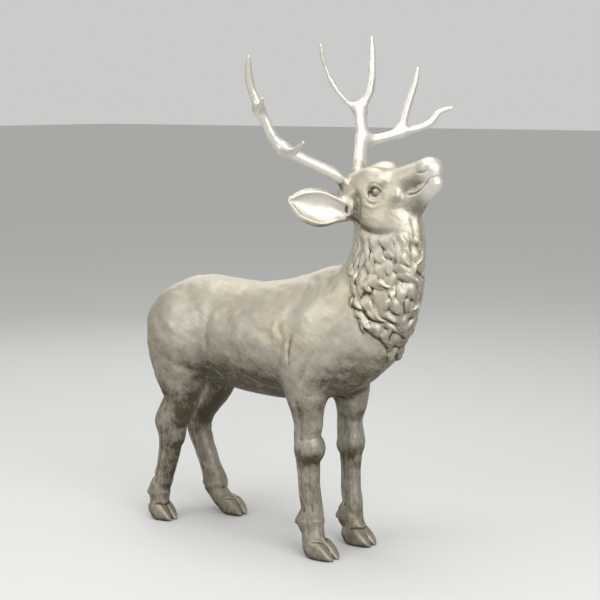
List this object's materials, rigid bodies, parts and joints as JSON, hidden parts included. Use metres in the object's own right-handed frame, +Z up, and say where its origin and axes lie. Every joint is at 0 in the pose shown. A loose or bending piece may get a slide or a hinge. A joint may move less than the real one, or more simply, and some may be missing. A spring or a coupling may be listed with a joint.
{
  "type": "standing deer sculpture",
  "caption": "Life-size bronze stag standing with its head raised, branched antlers, a shaggy neck and cloven hooves, free-standing on four flat soles.",
  "frame": {"origin": "centre of the bounding box in plan, on the ground under the hooves", "axes": "+Z up, +X towards the nose, +Y towards the animal's own left"},
  "size_m": [1.2239, 0.7957, 1.7129],
  "materials": {
    "bronze": "satin silvered bronze, brighter on the antlers and muzzle, dark patina in the recesses"
  },
  "bodies": {
    "root": {"deer": "bronze"}
  },
  "joints": []
}
